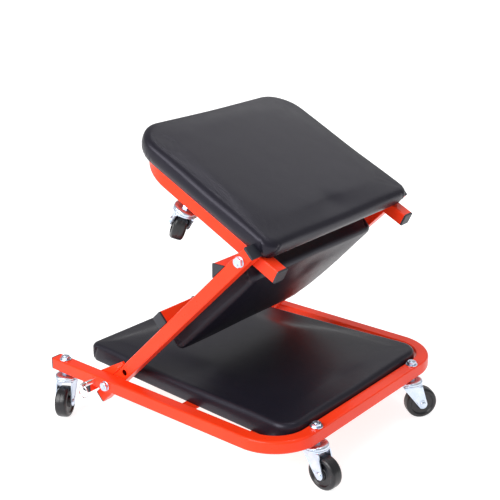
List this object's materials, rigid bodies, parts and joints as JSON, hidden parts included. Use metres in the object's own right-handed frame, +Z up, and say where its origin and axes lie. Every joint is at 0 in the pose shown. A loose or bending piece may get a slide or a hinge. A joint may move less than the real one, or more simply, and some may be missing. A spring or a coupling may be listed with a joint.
{
  "type": "folding creeper seat",
  "caption": "Z-folding creeper seat: vinyl-padded square-tube sections joined by hinges, with swivel casters under the base and the top section and a lock pin.",
  "frame": {"origin": "on the floor, under the middle of the outer box of the seat as it stands, which puts it on the base's plane of symmetry", "axes": "+X towards the rounded end of the base, +Z up from the floor, -Y the right-hand side, which has the lock pin"},
  "size_m": [0.5144, 0.4761, 0.4777],
  "materials": {
    "red_paint": "gloss",
    "black_plastic": "satin",
    "plywood": "matte",
    "vinyl": "satin",
    "foam": "matte",
    "wheel_rubber": "satin",
    "zinc": "satin",
    "chrome": "polished"
  },
  "bodies": {
    "base": {"base_frame": "red_paint", "stop_tube": "red_paint", "base_cross_straps": "red_paint", "base_tube_caps": "black_plastic", "base_pad_board": "plywood", "base_pad_foam": "foam", "base_pad_cover": "vinyl", "base_pad_screws": "zinc", "base_caster_stems": "zinc", "base_caster_washers": "zinc", "base_caster_nuts": "zinc", "base_caster_races": "zinc", "base_caster_balls": "zinc", "lower_hinge_bolts": "zinc", "lower_hinge_washers": "zinc", "lower_hinge_nuts": "zinc"},
    "mid": {"mid_arm_right": "red_paint", "mid_arm_left": "red_paint", "lock_plate": "red_paint", "mid_cross_tube": "red_paint", "mid_tube_caps": "black_plastic", "seat_rest_angle": "red_paint", "mid_pad_board": "plywood", "mid_pad_foam": "foam", "mid_pad_cover": "vinyl", "mid_pad_screws": "zinc", "upper_hinge_bolts": "zinc", "upper_hinge_washers": "zinc", "upper_hinge_nuts": "zinc"},
    "top": {"top_frame": "red_paint", "top_tube_caps": "black_plastic", "top_pad_board": "plywood", "top_pad_foam": "foam", "top_pad_cover": "vinyl", "top_pad_screws": "zinc", "top_caster_stems": "zinc", "top_caster_washers": "zinc", "top_caster_nuts": "zinc", "top_caster_races": "zinc", "top_caster_balls": "zinc"},
    "lock_pin": {"lock_pin": "chrome", "pull_ring": "chrome"},
    "swivel_front_right": {"yoke_front_right": "zinc", "axle_front_right": "zinc"},
    "wheel_front_right": {"wheel_front_right": "wheel_rubber"},
    "swivel_front_left": {"yoke_front_left": "zinc", "axle_front_left": "zinc"},
    "wheel_front_left": {"wheel_front_left": "wheel_rubber"},
    "swivel_rear_right": {"yoke_rear_right": "zinc", "axle_rear_right": "zinc"},
    "wheel_rear_right": {"wheel_rear_right": "wheel_rubber"},
    "swivel_rear_left": {"yoke_rear_left": "zinc", "axle_rear_left": "zinc"},
    "wheel_rear_left": {"wheel_rear_left": "wheel_rubber"},
    "swivel_top_right": {"yoke_top_right": "zinc", "axle_top_right": "zinc"},
    "wheel_top_right": {"wheel_top_right": "wheel_rubber"},
    "swivel_top_left": {"yoke_top_left": "zinc", "axle_top_left": "zinc"},
    "wheel_top_left": {"wheel_top_left": "wheel_rubber"}
  },
  "joints": [
    {"name": "lower_hinge", "type": "hinge", "parent": "base", "child": "mid", "pos_m": [-0.11594, 0, 0.0804], "axis": [0, -1, 0], "range_deg": [0, 135.2]},
    {"name": "upper_hinge", "type": "hinge", "parent": "mid", "child": "top", "pos_m": [0.13924, 0, 0.33301], "axis": [0, -1, 0], "range_deg": [-109.05, 29.1]},
    {"name": "lock_pin_slide", "type": "slide", "parent": "base", "child": "lock_pin", "axis": [0, 1, 0], "range_m": [0, 0.019]},
    {"name": "swivel_front_right_turn", "type": "hinge", "parent": "base", "child": "swivel_front_right", "pos_m": [0.21906, -0.1243, 0.0584], "axis": [0, 0, 1], "continuous": true},
    {"name": "wheel_front_right_spin", "type": "hinge", "parent": "swivel_front_right", "child": "wheel_front_right", "pos_m": [0.23599, -0.12587, 0.025], "axis": [0.0924, 0.9957, 0], "continuous": true},
    {"name": "swivel_front_left_turn", "type": "hinge", "parent": "base", "child": "swivel_front_left", "pos_m": [0.21906, 0.1243, 0.0584], "axis": [0, 0, 1], "continuous": true},
    {"name": "wheel_front_left_spin", "type": "hinge", "parent": "swivel_front_left", "child": "wheel_front_left", "pos_m": [0.22943, 0.13777, 0.025], "axis": [-0.7923, 0.6101, 0], "continuous": true},
    {"name": "swivel_rear_right_turn", "type": "hinge", "parent": "base", "child": "swivel_rear_right", "pos_m": [-0.21929, -0.2, 0.0584], "axis": [0, 0, 1], "continuous": true},
    {"name": "wheel_rear_right_spin", "type": "hinge", "parent": "swivel_rear_right", "child": "wheel_rear_right", "pos_m": [-0.21079, -0.21472, 0.025], "axis": [0.866, 0.5, 0], "continuous": true},
    {"name": "swivel_rear_left_turn", "type": "hinge", "parent": "base", "child": "swivel_rear_left", "pos_m": [-0.21929, 0.2, 0.0584], "axis": [0, 0, 1], "continuous": true},
    {"name": "wheel_rear_left_spin", "type": "hinge", "parent": "swivel_rear_left", "child": "wheel_rear_left", "pos_m": [-0.23067, 0.21263, 0.025], "axis": [-0.7431, -0.6691, 0], "continuous": true},
    {"name": "swivel_top_right_turn", "type": "hinge", "parent": "top", "child": "swivel_top_right", "pos_m": [0.01285, -0.155, 0.37054], "axis": [0.4406, 0, 0.8977], "continuous": true},
    {"name": "wheel_top_right_spin", "type": "hinge", "parent": "swivel_top_right", "child": "wheel_top_right", "pos_m": [-0.01168, -0.14198, 0.34537], "axis": [0.6877, 0.6428, -0.3375], "continuous": true},
    {"name": "swivel_top_left_turn", "type": "hinge", "parent": "top", "child": "swivel_top_left", "pos_m": [0.01285, 0.155, 0.37054], "axis": [0.4406, 0, 0.8977], "continuous": true},
    {"name": "wheel_top_left_spin", "type": "hinge", "parent": "swivel_top_left", "child": "wheel_top_left", "pos_m": [0.01247, 0.16081, 0.33351], "axis": [0.307, -0.9397, -0.1507], "continuous": true}
  ]
}
